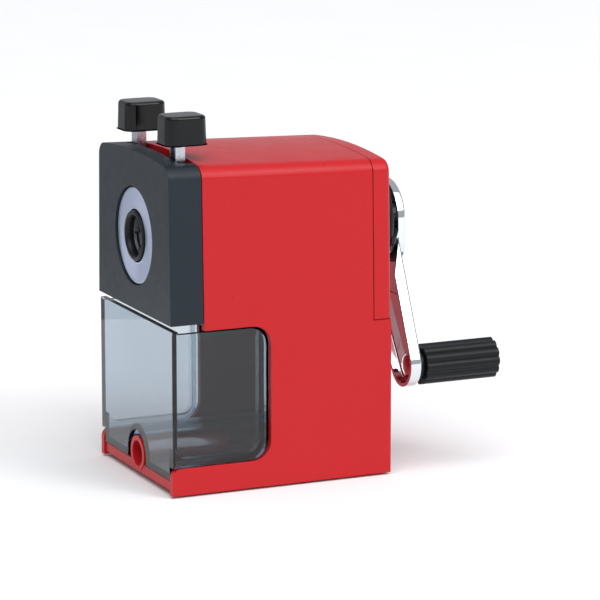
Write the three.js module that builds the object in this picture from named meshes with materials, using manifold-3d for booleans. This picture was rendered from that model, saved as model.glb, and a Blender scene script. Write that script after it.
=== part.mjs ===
// A hand-cranked desk pencil sharpener, built piece by piece as it would come apart on a bench.
// Millimetres, +Z up. The pencil goes in along +Y, so the front faces -Y and the crank is at the back.
// Pieces are drawn with Y = 0 at the front of the base. The whole assembly is then moved along Y, so
// that the origin is the middle of the sharpener's own box, on the desk.

import * as THREE from "three";
import { mergeVertices } from "three/addons/utils/BufferGeometryUtils.js";
import Module from "manifold-3d";

const wasm = await Module();
wasm.setup();

// Driving dimensions.
const gap = 0.3; // left between two pieces that touch
const wall = 2.4; // moulded wall of the body
const halfWidth = 32; // of the body at its waist, where drawer and head meet
const bodyDepth = 78.5;
const guideFront = -0.3; // the chuck guide stands proud of the head: the frontmost point
const gripEnd = 118.8; // the rearmost point
const skirtZ = 0.8; // lower edge of the side walls, above the desk by the feet
const waistZ = 57.2;
const shoulderZ = 104; // where a side turns into the roof
const crownZ = 110.1; // highest point of the roof, at its front
const roofFall = 2.5; // the roof is this much lower at the back
const axisZ = 81.6; // height of the pencil and of the crank's axis
const lipTop = 9.8;
const windowTop = 54.8;
const windowEnd = 35;
const windowCorner = 6.5;
const headEnd = 11.2; // back of the head; the housing starts a gap behind it
const seamY = 72.2; // where the housing ends and the rear cover starts
const ledgeZ = 53; // lower edge of the rear cover
const socketZ = 8; // clamp socket: its axis, radii and length
const socketRadius = 6;
const socketBore = 4.3;
const socketLength = 30.5;
const frameFront = 12.4; // front of the mechanism frame's plate
const frameThick = 3;
const ringTeeth = 36;
const pinionTeeth = 12;
const gearModule = 0.9;
const coneAngle = Math.atan(0.1853); // half the angle of a sharpened pencil
const cutterRadius = 6.2;
const coneTipY = 56; // where the sharpened pencil ends
const armFront = 85.1; // the arm's open side, towards the body
const armBack = 89.2;
const hubBack = 92.9; // the arm's hub is a dish, raised clear of the rear collar
const armSheet = 1.2;
const armTip = { x: 25.6, z: 36.2, radius: 8.1 };
const gripX = 25.8; // handle axis at rest
const gripZ = 35.1;
const gripFront = 91.8;
const rodX = 24.5; // guide rods of the head
const rodZ = 90;
const rodEnd = 66;
const jawTravel = 2.4;
const pinchAngle = THREE.MathUtils.degToRad(11); // how far each lever turns
const jawPinRadius = 9; // distance of a jaw's pin from the pencil's axis, jaws closed
const leverX = 17.5; // stem and cap of a lever, to each side
const leverPlates = { left: 7.4, right: 8.9 }; // front faces of the two lever plates
const plateThick = 1.2;
const springPostZ = 61.8; // posts that the lever spring pulls together

const colours = {
  red: { color: 0xc8333a, roughness: 0.35, metalness: 0 },
  smoke: { color: 0x5a6068, roughness: 0.1, metalness: 0, transparent: true, opacity: 0.5 },
  slate: { color: 0x3c444c, roughness: 0.45, metalness: 0 },
  black: { color: 0x1b1d20, roughness: 0.5, metalness: 0 },
  rubber: { color: 0x202022, roughness: 0.9, metalness: 0 },
  chrome: { color: 0xd8dde4, roughness: 0.12, metalness: 1 },
  silver: { color: 0xa9b4cc, roughness: 0.3, metalness: 0.8 },
  zinc: { color: 0xb9bcc0, roughness: 0.35, metalness: 1 },
  steel: { color: 0x9a9da2, roughness: 0.3, metalness: 1 },
  brass: { color: 0xb89a55, roughness: 0.35, metalness: 1 },
};
const materials = Object.fromEntries(
  Object.entries(colours).map(([name, values]) => [name, new THREE.MeshStandardMaterial(values)]),
);

// Solids: a geometry becomes a manifold solid, which can be joined and cut.

function solid(geometry) {
  const bare = geometry.clone();
  bare.deleteAttribute("normal");
  bare.deleteAttribute("uv");
  const merged = mergeVertices(bare, 1e-4);
  const vertProperties = new Float32Array(merged.attributes.position.array);
  const triVerts = new Uint32Array(merged.index.array);
  return new wasm.Manifold(new wasm.Mesh({ numProp: 3, vertProperties, triVerts }));
}

function join(...solids) {
  return solids.reduce((whole, next) => whole.add(next));
}

function cut(whole, ...tools) {
  return tools.reduce((rest, tool) => rest.subtract(tool), whole);
}

function geometryOf(made) {
  const mesh = made.getMesh();
  const vertices = new Float32Array(mesh.numVert * 3);
  for (let i = 0; i < mesh.numVert; i++) {
    const start = i * mesh.numProp;
    vertices.set(mesh.vertProperties.subarray(start, start + 3), i * 3);
  }
  const geometry = new THREE.BufferGeometry();
  geometry.setAttribute("position", new THREE.BufferAttribute(vertices, 3));
  geometry.setIndex(new THREE.BufferAttribute(new Uint32Array(mesh.triVerts), 1));
  return geometry;
}

function block([x0, x1], [y0, y1], [z0, z1]) {
  const box = new THREE.BoxGeometry(x1 - x0, y1 - y0, z1 - z0);
  return solid(box.translate((x0 + x1) / 2, (y0 + y1) / 2, (z0 + z1) / 2));
}

// An outline in X and Z, drawn out along Y.
function prismY(shape, y0, y1, curveSegments = 5) {
  const options = { depth: y1 - y0, bevelEnabled: false, curveSegments };
  return new THREE.ExtrudeGeometry(shape, options).rotateX(Math.PI / 2).translate(0, y1, 0);
}

// An outline in Y and Z, drawn out along X.
function prismX(shape, x0, x1, curveSegments = 5) {
  const options = { depth: x1 - x0, bevelEnabled: false, curveSegments };
  const turn = new THREE.Matrix4().makeBasis(
    new THREE.Vector3(0, 1, 0),
    new THREE.Vector3(0, 0, 1),
    new THREE.Vector3(1, 0, 0),
  );
  return new THREE.ExtrudeGeometry(shape, options).applyMatrix4(turn).translate(x0, 0, 0);
}

function outline(points) {
  return new THREE.Shape(points.map(([a, b]) => new THREE.Vector2(a, b)));
}

// A profile of [radius, y] points, going up its outside, turned about the Y axis at (x, z).
function turned(points, x = 0, z = axisZ, segments = 24) {
  const profile = points.map(([r, y]) => new THREE.Vector2(r, y));
  return solid(new THREE.LatheGeometry(profile, segments).translate(x, 0, z));
}

function rod(radius, y0, y1, x = 0, z = axisZ, segments = 12) {
  return turned([[0, y0], [radius, y0], [radius, y1], [0, y1]], x, z, segments);
}

function ring(inner, outer, y0, y1, x = 0, z = axisZ, segments = 24) {
  return turned([[inner, y0], [outer, y0], [outer, y1], [inner, y1], [inner, y0]], x, z, segments);
}

// The same, standing up: turned about a Z axis at (x, y).
function post(radius, z0, z1, x, y, segments = 12) {
  const cylinder = new THREE.CylinderGeometry(radius, radius, z1 - z0, segments);
  return solid(cylinder.rotateX(Math.PI / 2).translate(x, y, (z0 + z1) / 2));
}

function roundedRectangle(x0, x1, z0, z1, radius) {
  const shape = new THREE.Shape();
  shape.absarc(x1 - radius, z0 + radius, radius, -Math.PI / 2, 0);
  shape.absarc(x1 - radius, z1 - radius, radius, 0, Math.PI / 2);
  shape.absarc(x0 + radius, z1 - radius, radius, Math.PI / 2, Math.PI);
  shape.absarc(x0 + radius, z0 + radius, radius, Math.PI, 1.5 * Math.PI);
  return shape;
}

// A round wire wound into a coil along Y, from y0 to y1.
function coil(radius, wire, turns, y0, y1, stepsPerTurn = 7) {
  const points = [];
  for (let i = 0; i <= turns * stepsPerTurn; i++) {
    const turn = i / stepsPerTurn;
    const angle = turn * 2 * Math.PI;
    const y = y0 + wire + ((y1 - y0 - 2 * wire) * turn) / turns;
    points.push(new THREE.Vector3(radius * Math.cos(angle), y, radius * Math.sin(angle)));
  }
  const section = new THREE.Shape();
  section.absarc(0, 0, wire, 0, 2 * Math.PI);
  const options = {
    extrudePath: new THREE.CatmullRomCurve3(points),
    steps: turns * stepsPerTurn,
    curveSegments: 3,
    bevelEnabled: false,
  };
  return solid(new THREE.ExtrudeGeometry(section, options));
}

// The sharpener's cross-section: straight sides that lean in above the waist, rounded shoulders and
// an arched roof, all moved inwards by inset.
function bodyOutline(inset, bottom = skirtZ) {
  const corner = 4.6 - Math.min(inset, 3);
  const shoulder = halfWidth - 1.3 - inset;
  const cornerX = shoulder - corner;
  const roofZ = shoulderZ + corner + 0.1;
  const cornerEnd = THREE.MathUtils.degToRad(84);
  const crown = crownZ - inset;
  const shape = new THREE.Shape();
  shape.moveTo(halfWidth - inset, bottom);
  shape.lineTo(halfWidth - inset, waistZ);
  shape.lineTo(shoulder, shoulderZ);
  shape.absarc(cornerX, shoulderZ, corner, 0, cornerEnd);
  shape.quadraticCurveTo(0, 2 * crown - roofZ, -cornerX, roofZ);
  shape.absarc(-cornerX, shoulderZ, corner, Math.PI - cornerEnd, Math.PI);
  shape.lineTo(-halfWidth + inset, waistZ);
  shape.lineTo(-halfWidth + inset, bottom);
  return shape;
}

// The cross-section drawn out along Y, with the roof's fall to the back put in.
function bodyPrism(inset, y0, y1, bottom = skirtZ) {
  const geometry = prismY(bodyOutline(inset, bottom), y0, y1);
  const place = geometry.attributes.position;
  for (let i = 0; i < place.count; i++) {
    const above = Math.max(0, (place.getZ(i) - waistZ) / (crownZ - waistZ));
    place.setZ(i, place.getZ(i) - (roofFall * above * place.getY(i)) / bodyDepth);
  }
  return solid(geometry);
}

const everywhere = [-60, 60];
const bothSides = [-1, 1];

// Fixed body.

const collarFront = bodyDepth + gap;
const coverScrewAt = { x: 25.4, z: 66 };
const frameScrewsAt = bothSides.flatMap((side) => [
  { x: 25 * side, z: 64 },
  { x: 25 * side, z: 99 },
]);
const baseScrewAt = { x: 23, y: 69.5 };

function housing() {
  const shell = cut(
    bodyPrism(0, 0, bodyDepth),
    bodyPrism(wall, -1, bodyDepth - wall, -1),
    block(everywhere, [-1, headEnd + gap], [lipTop, 130]),
    block(everywhere, [seamY - gap, 90], [ledgeZ, 130]),
    solid(prismX(roundedRectangle(-20, windowEnd, lipTop, windowTop, windowCorner), -60, 60)),
    solid(prismX(lipCorner(), -60, 60)),
  );
  const frameBosses = frameScrewsAt.map(({ x, z }) => {
    const side = Math.sign(x);
    const start = frameFront + frameThick + gap;
    const web = [Math.min(x, side * 29.4), Math.max(x, side * 29.4)];
    const boss = join(rod(3.4, start, 24, x, z), block(web, [start, 24], [z - 1.5, z + 1.5]));
    return { boss, bore: rod(1.6, start - 1, 22, x, z, 8) };
  });
  const coverBosses = bothSides.map((side) => {
    const x = side * coverScrewAt.x;
    const web = [Math.min(x, side * 30), Math.max(x, side * 30)];
    const { z } = coverScrewAt;
    const boss = join(rod(3.4, 58, 71.6, x, z), block(web, [58, 71.6], [z - 1.5, z + 1.5]));
    return { boss, bore: rod(1.7, 60, 73, x, z, 8) };
  });
  const baseBosses = bothSides.map((side) => {
    const x = side * baseScrewAt.x;
    const bottom = baseTop + gap;
    const web = block([x - 1.5, x + 1.5], [baseScrewAt.y, 77], [bottom, 22]);
    const boss = join(post(3.4, bottom, 22, x, baseScrewAt.y), web);
    return { boss, bore: post(1.7, 3, 20, x, baseScrewAt.y, 8) };
  });
  const bosses = [...frameBosses, ...coverBosses, ...baseBosses];
  return cut(join(shell, ...bosses.map((b) => b.boss)), ...bosses.map((b) => b.bore));
}

// What is taken off the front upper corner of each side's lip to round it.
function lipCorner() {
  const radius = 3;
  const shape = new THREE.Shape();
  shape.moveTo(-1, lipTop + 1);
  shape.lineTo(-1, lipTop - radius);
  shape.lineTo(0, lipTop - radius);
  shape.absarc(radius, lipTop - radius, radius, Math.PI, Math.PI / 2, true);
  shape.lineTo(radius, lipTop + 1);
  return shape;
}

function rearCover() {
  const panel = bodyDepth - wall;
  const shell = cut(
    bodyPrism(0, seamY, bodyDepth),
    bodyPrism(2, seamY - 1, panel),
    block(everywhere, [60, 90], [-5, ledgeZ + gap]),
  );
  const bearingBoss = rod(9.5, seamY, panel + 1, 0, axisZ, 32);
  const bearingBore = rod(6.8, 60, 90, 0, axisZ, 32);
  const holes = bothSides.flatMap((side) => [
    rod(1.7, 70, 90, side * coverScrewAt.x, coverScrewAt.z, 8),
    rod(3.3, bodyDepth - 1.3, 90, side * coverScrewAt.x, coverScrewAt.z),
  ]);
  return cut(join(shell, bearingBoss), bearingBore, ...holes);
}

const footPlaces = bothSides.flatMap((side) => [
  { x: 20 * side, y: 12 },
  { x: 20 * side, y: 60 },
]);
const baseBottom = 2;
const baseTop = 4;
const footTop = 2.9;

// The floor, its front strip, and the socket that a desk clamp's pin goes into.
function basePlate() {
  const halfInside = halfWidth - wall - gap;
  const plate = block([-halfInside, halfInside], [0.6, bodyDepth - wall - gap], [baseBottom, baseTop]);
  const strip = block([-halfInside, halfInside], [0.6, 2.8], [baseBottom, 5.1]);
  const socket = rod(socketRadius, 0.4, socketLength, 0, socketZ, 32);
  const bore = rod(socketBore, -1, socketLength - 2, 0, socketZ, 32);
  const recesses = footPlaces.map(({ x, y }) => post(5.8, 0, footTop + gap, x, y, 20));
  const screwHoles = bothSides.flatMap((side) => [
    post(1.7, 0, 10, side * baseScrewAt.x, baseScrewAt.y, 8),
    post(3.3, 0, footTop + gap, side * baseScrewAt.x, baseScrewAt.y),
  ]);
  return cut(join(plate, strip, socket), bore, ...recesses, ...screwHoles);
}

// Mechanism.

function mechanismFrame() {
  const plateEnd = frameFront + frameThick;
  const plate = cut(
    bodyPrism(wall + gap, frameFront, plateEnd),
    block(everywhere, [0, 30], [-5, windowTop + 1]),
  );
  const barrel = ring(19.5, 21.7, plateEnd - 0.5, 36.5, 0, axisZ, 36);
  const screwHoles = frameScrewsAt.flatMap(({ x, z }) => [
    rod(1.7, 0, 30, x, z, 8),
    rod(3.2, 0, frameFront + 1.6, x, z),
  ]);
  const rodHoles = bothSides.map((side) => rod(3.5, 0, 30, side * rodX, rodZ, 20));
  return cut(join(plate, barrel), rod(5.2, 0, 30, 0, axisZ, 24), ...rodHoles, ...screwHoles);
}

// A gear's outline about (0, z0). Each tooth has straight flanks; root and tip are half its width
// at the valley and at the peak, as shares of the pitch.
function gearOutline(teeth, valley, peak, root, tip, z0, phase = 0) {
  const pitch = (2 * Math.PI) / teeth;
  const points = [];
  const corners = [[-root, valley], [-tip, peak], [tip, peak], [root, valley]];
  for (let i = 0; i < teeth; i++) {
    for (const [share, radius] of corners) {
      const angle = phase + pitch * (i + share);
      points.push([radius * Math.sin(angle), z0 + radius * Math.cos(angle)]);
    }
  }
  return outline(points.reverse());
}

function ringGear() {
  const pitchRadius = (ringTeeth * gearModule) / 2;
  const teeth = gearOutline(ringTeeth, pitchRadius + 1.35, pitchRadius - 0.65, 0.28, 0.13, axisZ);
  return cut(rod(19.2, 29, 34, 0, axisZ, 36), solid(prismY(teeth, 28, 35)));
}

// Pieces of the cutter stand along their own Y axis, with Y = 0 level with the pencil's tip.
function cutterPinion() {
  const pitchRadius = (pinionTeeth * gearModule) / 2;
  const half = Math.PI / pinionTeeth;
  const teeth = gearOutline(pinionTeeth, pitchRadius - 1.05, pitchRadius + 0.7, 0.3, 0.11, 0, half);
  const middle = -(coneTipY - 31.7) / Math.cos(coneAngle);
  return cut(solid(prismY(teeth, middle - 1.5, middle + 1.5)), rod(1.8, -40, 10, 0, 0));
}

// Sharp teeth round the cutter, twisted into a helix along its length.
function helicalCutter() {
  const teeth = 10;
  const length = 25.6;
  const steps = 6;
  const twist = 0.9;
  const points = [];
  for (let i = 0; i < teeth; i++) {
    const angle = (i * 2 * Math.PI) / teeth;
    points.push([cutterRadius * Math.cos(angle), cutterRadius * Math.sin(angle)]);
    points.push([5 * Math.cos(angle + 0.16), 5 * Math.sin(angle + 0.16)]);
  }
  const options = { depth: length, steps, bevelEnabled: false };
  const geometry = new THREE.ExtrudeGeometry(outline(points), options);
  const place = geometry.attributes.position;
  const spot = new THREE.Vector3();
  const axis = new THREE.Vector3(0, 0, 1);
  for (let i = 0; i < place.count; i++) {
    spot.fromBufferAttribute(place, i);
    spot.applyAxisAngle(axis, (twist * spot.z) / length);
    place.setXYZ(i, spot.x, spot.y, spot.z);
  }
  geometry.rotateX(Math.PI / 2).translate(0, 3.9, 0);
  return cut(solid(geometry), rod(1.8, -40, 10, 0, 0));
}

function cutterAxle() {
  return rod(1.5, -31.2, 9.2, 0, 0);
}

function cutterWasher() {
  return ring(1.8, 4, 4.2, 5, 0, 0, 20);
}

// Two discs with a strut between them, opposite the cutter, whose axle they hold.
function carrier(axleHole) {
  const front = ring(5.6, 15.2, 24.8, 27.8);
  const rear = rod(13.5, 62.5, 65.5, 0, axisZ, 32);
  const strut = block([-4.5, 4.5], [25, 65], [axisZ + 8.5, axisZ + 13]);
  return cut(join(front, rear, strut), axleHole);
}

function driveShaft() {
  const seat = hubBack - armSheet - gap;
  const end = hubBack + 3.2;
  const profile = [
    [0, 65.8], [7, 65.8], [7, 67.6], [3.8, 67.6], [3.8, seat], [2.4, seat], [2.4, end], [0, end],
  ];
  return turned(profile);
}

function rearBearing() {
  const flangeEnd = collarFront + 1.2;
  const profile = [
    [4.1, 70.6], [6.5, 70.6], [6.5, collarFront], [8.6, collarFront], [8.6, flangeEnd], [4.1, flangeEnd],
    [4.1, 70.6],
  ];
  return turned(profile);
}

function rearCollar() {
  const profile = [
    [8.9, collarFront], [16, collarFront], [16, 85.9], [15.5, 87.1], [14.3, 87.6], [5, 87.6], [5, 85.6],
    [8.9, 85.6], [8.9, collarFront],
  ];
  return turned(profile);
}

// Crank.

const armLean = Math.atan2(armTip.x, axisZ - armTip.z);

// The hull of two discs of the given radii: one on the crank's axis, the other at (x, z).
function hullOutline(radius, x, z, endRadius, inset) {
  const along = Math.atan2(z - axisZ, x);
  const side = Math.acos((radius - endRadius) / Math.hypot(x, z - axisZ));
  const shape = new THREE.Shape();
  shape.absarc(0, axisZ, radius - inset, along + side, along - side + 2 * Math.PI);
  shape.absarc(x, z, endRadius - inset, along - side, along + side);
  return shape;
}

// A shallow pressed-steel channel, open towards the body, that steps up to its dished hub.
function crankArm() {
  const stretch = 7.9; // the dish is this much longer towards the arm
  const dishX = stretch * Math.sin(armLean);
  const dishZ = axisZ - stretch * Math.cos(armLean);
  const filled = (inset, front) =>
    join(
      solid(prismY(hullOutline(12.1, armTip.x, armTip.z, armTip.radius, inset), front, armBack - inset, 14)),
      solid(prismY(hullOutline(13, dishX, dishZ, 9.5, inset), front, hubBack - inset, 14)),
    );
  // Round the hub the flange is shallower, to clear the rear collar.
  const rim = hubBack - 2.9;
  const clearance = outline([
    [80, axisZ + 20], [rim, axisZ + 20], [rim, axisZ - 9], [armFront, axisZ - 24.5], [80, axisZ - 24.5],
  ]);
  return cut(
    filled(0, armFront),
    filled(armSheet, 80),
    turnedAboutPencil(solid(prismX(clearance, -30, 30)), -armLean),
    rod(2.7, 80, 95),
    rod(2.3, 80, 95, gripX, gripZ),
  );
}

function crankNut() {
  return cut(rod(5, hubBack + gap, hubBack + 3.8, 0, axisZ, 6), rod(2.7, 90, 98));
}

function handlePin() {
  const under = armBack - armSheet - gap;
  const profile = [
    [0, under - 1.6], [3.2, under - 1.6], [3.8, under - 1], [3.8, under], [2, under], [2, 116.6], [0, 116.6],
  ];
  return turned(profile, gripX, gripZ, 20);
}

function gripCollar() {
  return ring(2.3, 5.2, armBack + gap, gripFront - gap, gripX, gripZ, 24);
}

function grip() {
  const ribs = 12;
  const points = [];
  for (let i = 0; i < ribs * 4; i++) {
    const angle = (i * Math.PI) / (ribs * 2);
    const radius = 6.6 + 0.35 * Math.cos(ribs * angle);
    points.push([gripX + radius * Math.cos(angle), gripZ + radius * Math.sin(angle)]);
  }
  const handle = solid(prismY(outline(points), gripFront, gripEnd));
  return cut(handle, rod(2.3, 90, 117, gripX, gripZ));
}

// Head: it pulls out to take a pencil, and its springs draw it back.

const headScrewsAt = bothSides.flatMap((side) => [
  { x: 24 * side, z: 64.5 },
  { x: 25.4 * side, z: 100.6 },
]);
const headFront = -0.2;
const headWall = 2.2;
const backPlateY = [10.4, 11.1];
const notch = [-24, 24];

function headShell() {
  const floor = block(everywhere, [-5, 20], [-5, waistZ]);
  const shell = cut(bodyPrism(0, headFront, headEnd), floor);
  const cavity = cut(
    bodyPrism(headWall, headFront + headWall, headEnd + 1),
    block(everywhere, [-5, 20], [-5, waistZ + headWall]),
  );
  const opened = cut(shell, cavity, block(notch, [6.3, 20], [102, 130]));
  const screws = headScrewsAt.map(({ x, z }) => rod(2.6, 1.8, backPlateY[0] - gap, x, z));
  const bores = headScrewsAt.map(({ x, z }) => rod(1.4, 3.4, 20, x, z, 8));
  const rodBosses = bothSides.map((side) => rod(3.4, 1.8, 8.8, side * rodX, rodZ, 20));
  const rodBores = bothSides.map((side) => rod(2.3, 3, 20, side * rodX, rodZ));
  const filled = join(opened, ...screws, ...rodBosses);
  return cut(filled, rod(16.4, -5, 8, 0, axisZ, 36), ...bores, ...rodBores);
}

function headBackPlate() {
  const plate = cut(
    bodyPrism(headWall + gap, ...backPlateY),
    block(everywhere, [-5, 20], [-5, waistZ + headWall + gap]),
    block(notch, [-5, 20], [102, 130]),
  );
  const holes = headScrewsAt.map(({ x, z }) => rod(1.4, 0, 20, x, z, 8));
  const rodHoles = bothSides.map((side) => rod(2.4, 0, 20, side * rodX, rodZ));
  return cut(plate, rod(6.4, 0, 20, 0, axisZ, 24), ...holes, ...rodHoles);
}

function bezelRing() {
  const profile = [
    [8.7, 0.5], [15.6, 0.5], [16.1, 1], [16.1, 2.3], [8.7, 2.3], [8.7, 0.5],
  ];
  return turned(profile, 0, axisZ, 36);
}

function chuckGuide() {
  const profile = [
    [6.4, 1.1], [7.2, guideFront], [8, guideFront], [8.4, 0.1], [8.4, 2.3], [6.4, 2.3], [6.4, 1.1],
  ];
  return turned(profile);
}

// The jaws' directions, as angles about the pencil from straight up.
const jawAngles = [0, 1, 2].map((i) => (i * 2 * Math.PI) / 3);
const jawWidth = 6;

function turnedAboutPencil(made, angle) {
  const geometry = geometryOf(made).translate(0, 0, -axisZ);
  return solid(geometry.rotateY(angle).translate(0, 0, axisZ));
}

// A ring with a slot in its back for each jaw to slide in.
function chuckBody() {
  const half = jawWidth / 2 + gap;
  const slot = block([-half, half], [3.6, 9], [axisZ, axisZ + 13.8]);
  const slots = jawAngles.map((angle) => turnedAboutPencil(slot, angle));
  return cut(ring(6.6, 15.4, 2.6, 7), ...slots);
}

// One jaw, pointing down at the pencil from above, with the pin that the lever plates push.
function jaw(angle) {
  const half = jawWidth / 2;
  const blade = outline([
    [-1, axisZ + 1.8], [1, axisZ + 1.8], [half, axisZ + 5], [half, axisZ + 11.2],
    [-half, axisZ + 11.2], [-half, axisZ + 5],
  ]);
  const pin = rod(0.8, 6.5, 10.1, 0, axisZ + jawPinRadius, 10);
  return turnedAboutPencil(join(solid(prismY(blade, 3.9, 6.8)), pin), angle);
}

// The slot that a jaw's pin runs in: it climbs outwards by the jaws' travel as the lever turns.
// side is -1 for the left lever, which turns the other way from the right one.
function camSlot(jawAngle, side) {
  const halfSlot = 1.15;
  const steps = 6;
  const inner = [];
  const outer = [];
  for (let i = 0; i <= steps; i++) {
    const turn = -0.35 + (1.7 * i) / steps;
    const radius = jawPinRadius + jawTravel * turn;
    const angle = jawAngle + side * pinchAngle * turn;
    const lean = Math.atan2(side * pinchAngle * radius, jawTravel) + angle;
    const x = radius * Math.sin(angle);
    const z = axisZ + radius * Math.cos(angle);
    inner.push([x - halfSlot * Math.cos(lean), z + halfSlot * Math.sin(lean)]);
    outer.push([x + halfSlot * Math.cos(lean), z - halfSlot * Math.sin(lean)]);
  }
  return outline([...outer, ...inner.reverse()]);
}

// A flat plate that turns about the pencil, with a stem up into its cap and a tab for the spring.
function lever(side) {
  const front = side < 0 ? leverPlates.left : leverPlates.right;
  const back = front + plateThick;
  const mirrored = (points) => outline(side < 0 ? points.map(([x, z]) => [-x, z]).reverse() : points);
  const stem = mirrored([
    [3, axisZ + 11], [11, axisZ + 7], [leverX + 2.5, axisZ + 17], [leverX + 2.5, 118.5],
    [leverX - 2.5, 118.5], [leverX - 2.5, axisZ + 20],
  ]);
  const tab = mirrored([[2.5, 68.5], [4.7, springPostZ - 1.8], [8.3, springPostZ - 1.8], [10.5, 68.5]]);
  const plate = join(
    ring(7, 15, front, back, 0, axisZ, 32),
    solid(prismY(stem, front, back)),
    solid(prismY(tab, front, back)),
  );
  const slots = jawAngles.map((angle) => solid(prismY(camSlot(angle, side), 0, 20)));
  const springPost = rod(0.9, 4.2, front + 0.5, side * 6.5, springPostZ, 12);
  return join(cut(plate, ...slots), springPost);
}

// A block to pinch, drawn in slightly towards its top, that fits over a lever's stem.
function leverCap(side) {
  const front = side < 0 ? leverPlates.left : leverPlates.right;
  const x = side * leverX;
  const plan = roundedRectangle(x - 6.2, x + 6.2, 2.75, 17.25, 3.5);
  const options = {
    depth: 7.9, bevelEnabled: true, bevelThickness: 0.8, bevelSize: 0.8, bevelOffset: -0.8, bevelSegments: 1,
  };
  const cap = solid(new THREE.ExtrudeGeometry(plan, { ...options, curveSegments: 4 }).translate(0, 0, 114.8));
  const socket = block([x - 2.8, x + 2.8], [front - gap, front + plateThick + gap], [110, 118.8]);
  return cut(cap, socket);
}

// Drawer: a clear tray whose front fills the mouth of the base and whose cheeks fill the windows.

const drawerFront = 0.3;
const drawerEnd = 62;
const drawerWall = 2;
const tunnelRadius = 8;

// A round-topped space over the clamp socket.
function archedWay(radius, y0, y1) {
  return join(
    rod(radius, y0, y1, 0, socketZ, 28),
    block([-radius, radius], [y0, y1], [0, socketZ]),
  );
}

function drawer() {
  const bottom = 5.5;
  const halfInner = halfWidth - wall - 0.6;
  const cheekEnd = windowEnd - 1.8;
  const tray = cut(
    block([-halfInner, halfInner], [drawerFront, drawerEnd], [bottom, 51]),
    block(
      [-halfInner + drawerWall, halfInner - drawerWall],
      [drawerFront + drawerWall, drawerEnd - drawerWall],
      [bottom + drawerWall, 60],
    ),
  );
  const frontWall = cut(
    bodyPrism(0.1, drawerFront, drawerFront + drawerWall, lipTop + gap),
    block(everywhere, [-5, 20], [windowTop + 0.4, 130]),
  );
  const window = roundedRectangle(-20, cheekEnd, lipTop + gap + 0.1, windowTop - 0.5, windowCorner - 1);
  const cheeks = bothSides.map((side) => {
    const reach = [Math.min(side * (halfInner - 1), side * 60), Math.max(side * (halfInner - 1), side * 60)];
    const panel = bodyPrism(0.1, drawerFront, cheekEnd, lipTop + gap);
    return panel.intersect(solid(prismX(window, ...reach)));
  });
  // Behind the cheeks the inside is wider, so that their wall is no thicker than the rest.
  const pocketWidth = halfWidth - 0.1 - drawerWall;
  const pocket = block(
    [-pocketWidth, pocketWidth],
    [drawerFront + drawerWall, cheekEnd - drawerWall],
    [lipTop + drawerWall + 0.5, 60],
  );
  // The socket passes right under the drawer as it comes out, so a tunnel runs the drawer's length.
  const tunnel = archedWay(tunnelRadius + drawerWall, drawerFront, drawerEnd);
  const above = block(everywhere, [-5, 70], [bottom, 60]);
  const way = archedWay(tunnelRadius, drawerFront - 5, drawerEnd + 5);
  const walls = cut(join(tray, frontWall, ...cheeks), pocket);
  return cut(join(walls, tunnel.intersect(above)), way);
}

// Small round pieces.

function foot(x, y) {
  return post(5.5, 0, footTop, x, y, 20);
}

// A pan-head screw along Y: its head is at headAt, and its shank points towards shankEnd.
function screw(x, z, headAt, headRadius, headThick, shankRadius, shankEnd) {
  const inwards = Math.sign(shankEnd - headAt);
  const under = headAt + inwards * headThick;
  const head = rod(headRadius, Math.min(headAt, under), Math.max(headAt, under), x, z);
  const shank = rod(shankRadius, Math.min(under, shankEnd) - 0.01, Math.max(under, shankEnd) + 0.01, x, z, 8);
  return join(head, shank);
}

function baseScrew(x) {
  const head = post(3, footTop - 0.8, footTop, x, baseScrewAt.y);
  return join(head, post(1.4, footTop - 0.1, 16, x, baseScrewAt.y, 8));
}

function rodBush(x) {
  const plateEnd = frameFront + frameThick;
  const profile = [
    [2.3, frameFront], [3.2, frameFront], [3.2, plateEnd + gap], [4.2, plateEnd + gap],
    [4.2, plateEnd + 1.5], [2.3, plateEnd + 1.5], [2.3, frameFront],
  ];
  return turned(profile, x, rodZ, 20);
}

// Assembly. Each group is one body that moves as a whole.

const assembly = new THREE.Group();

function body(pieces) {
  const group = new THREE.Group();
  for (const [name, made, material] of pieces) {
    const mesh = new THREE.Mesh(geometryOf(made), materials[material].clone());
    mesh.name = name;
    group.add(mesh);
  }
  assembly.add(group);
  return group;
}

const springStart = frameFront + frameThick + 1.8;
const leverSpring = coil(1.4, 0.35, 5, -5.2, 5.2);
const leverSpringPlace = geometryOf(leverSpring).rotateZ(-Math.PI / 2).translate(0, 5.6, springPostZ);

body([
  ["housing", housing(), "red"],
  ["rear_cover", rearCover(), "red"],
  ["base_plate", basePlate(), "red"],
  ...footPlaces.map(({ x, y }, i) => [`foot_${i + 1}`, foot(x, y), "rubber"]),
  ...bothSides.map((side, i) => [`base_screw_${i + 1}`, baseScrew(side * baseScrewAt.x), "steel"]),
  ...bothSides.map((side, i) => [
    `cover_screw_${i + 1}`,
    screw(side * coverScrewAt.x, coverScrewAt.z, collarFront, 3, 1.3, 1.4, 64),
    "steel",
  ]),
  ["mechanism_frame", mechanismFrame(), "zinc"],
  ...frameScrewsAt.map(({ x, z }, i) => [
    `frame_screw_${i + 1}`,
    screw(x, z, frameFront + 0.2, 2.9, 1.1, 1.3, 20),
    "steel",
  ]),
  ["ring_gear", ringGear(), "steel"],
  ["rear_bearing", rearBearing(), "brass"],
  ["rear_collar", rearCollar(), "black"],
  ...bothSides.map((side, i) => [`rod_bush_${i + 1}`, rodBush(side * rodX), "brass"]),
  ...bothSides.map((side, i) => {
    const spring = geometryOf(coil(2.9, 0.4, 8, springStart, 63.1)).translate(side * rodX, 0, rodZ);
    return [`head_spring_${i + 1}`, solid(spring), "steel"];
  }),
]);

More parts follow.
